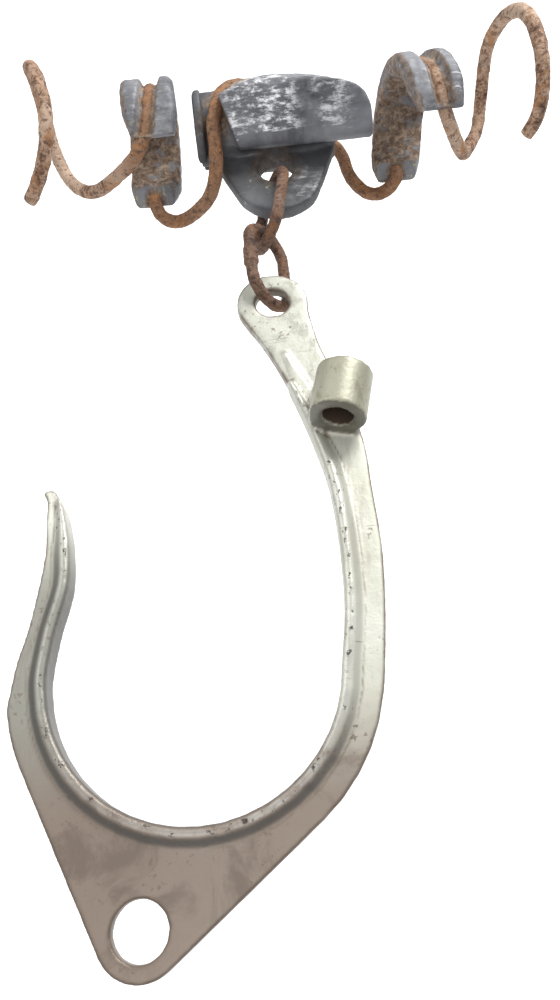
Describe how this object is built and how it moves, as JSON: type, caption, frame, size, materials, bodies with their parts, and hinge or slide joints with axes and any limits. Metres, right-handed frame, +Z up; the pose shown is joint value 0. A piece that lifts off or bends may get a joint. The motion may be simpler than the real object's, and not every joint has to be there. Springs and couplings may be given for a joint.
{
  "type": "rope-hung lifting hook",
  "caption": "Cast hook with a rib, pull hole and pole socket, hung by a short chain from a saddle that a spiral rod and shoes hold on a rope",
  "frame": {"origin": "middle of the rope seat, above the hole of the lug", "axes": "+X along the rope, +Z up from the hook towards the rope, -Y the front that carries the pole socket and the block of the saddle"},
  "size_m": [0.2646, 0.083, 0.4262],
  "materials": {
    "dull_casting": "blue-grey soft-metal casting, dull with bright scratches",
    "stained_casting": "dark grey casting stained brown where it grips the rope",
    "bare_aluminium": "pale cast aluminium with brown grime",
    "dark_rust": "dark pitted rust",
    "light_rust": "light brown and orange rust with dark spots"
  },
  "bodies": {
    "rope_grip": {"centre_saddle": "dull_casting", "left_shoe": "stained_casting", "right_shoe": "stained_casting", "spiral_rod": "light_rust"},
    "upper_chain": {"upper_link": "dark_rust"},
    "lower_chain": {"lower_link": "dark_rust"},
    "hook": {"lifting_hook": "bare_aluminium"}
  },
  "joints": [
    {"name": "lug_swing", "type": "hinge", "parent": "rope_grip", "child": "upper_chain", "pos_m": [0, 0, -0.035], "axis": [0, 1, 0], "range_deg": [-35, 35]},
    {"name": "link_swing", "type": "hinge", "parent": "upper_chain", "child": "lower_chain", "pos_m": [-0.00981, 0, -0.08707], "axis": [-0.788, 0.6157, 0], "range_deg": [-30, 30]},
    {"name": "hook_swing", "type": "hinge", "parent": "lower_chain", "child": "hook", "pos_m": [-0.00981, 0, -0.12027], "axis": [0, 1, 0], "range_deg": [-40, 40]}
  ]
}
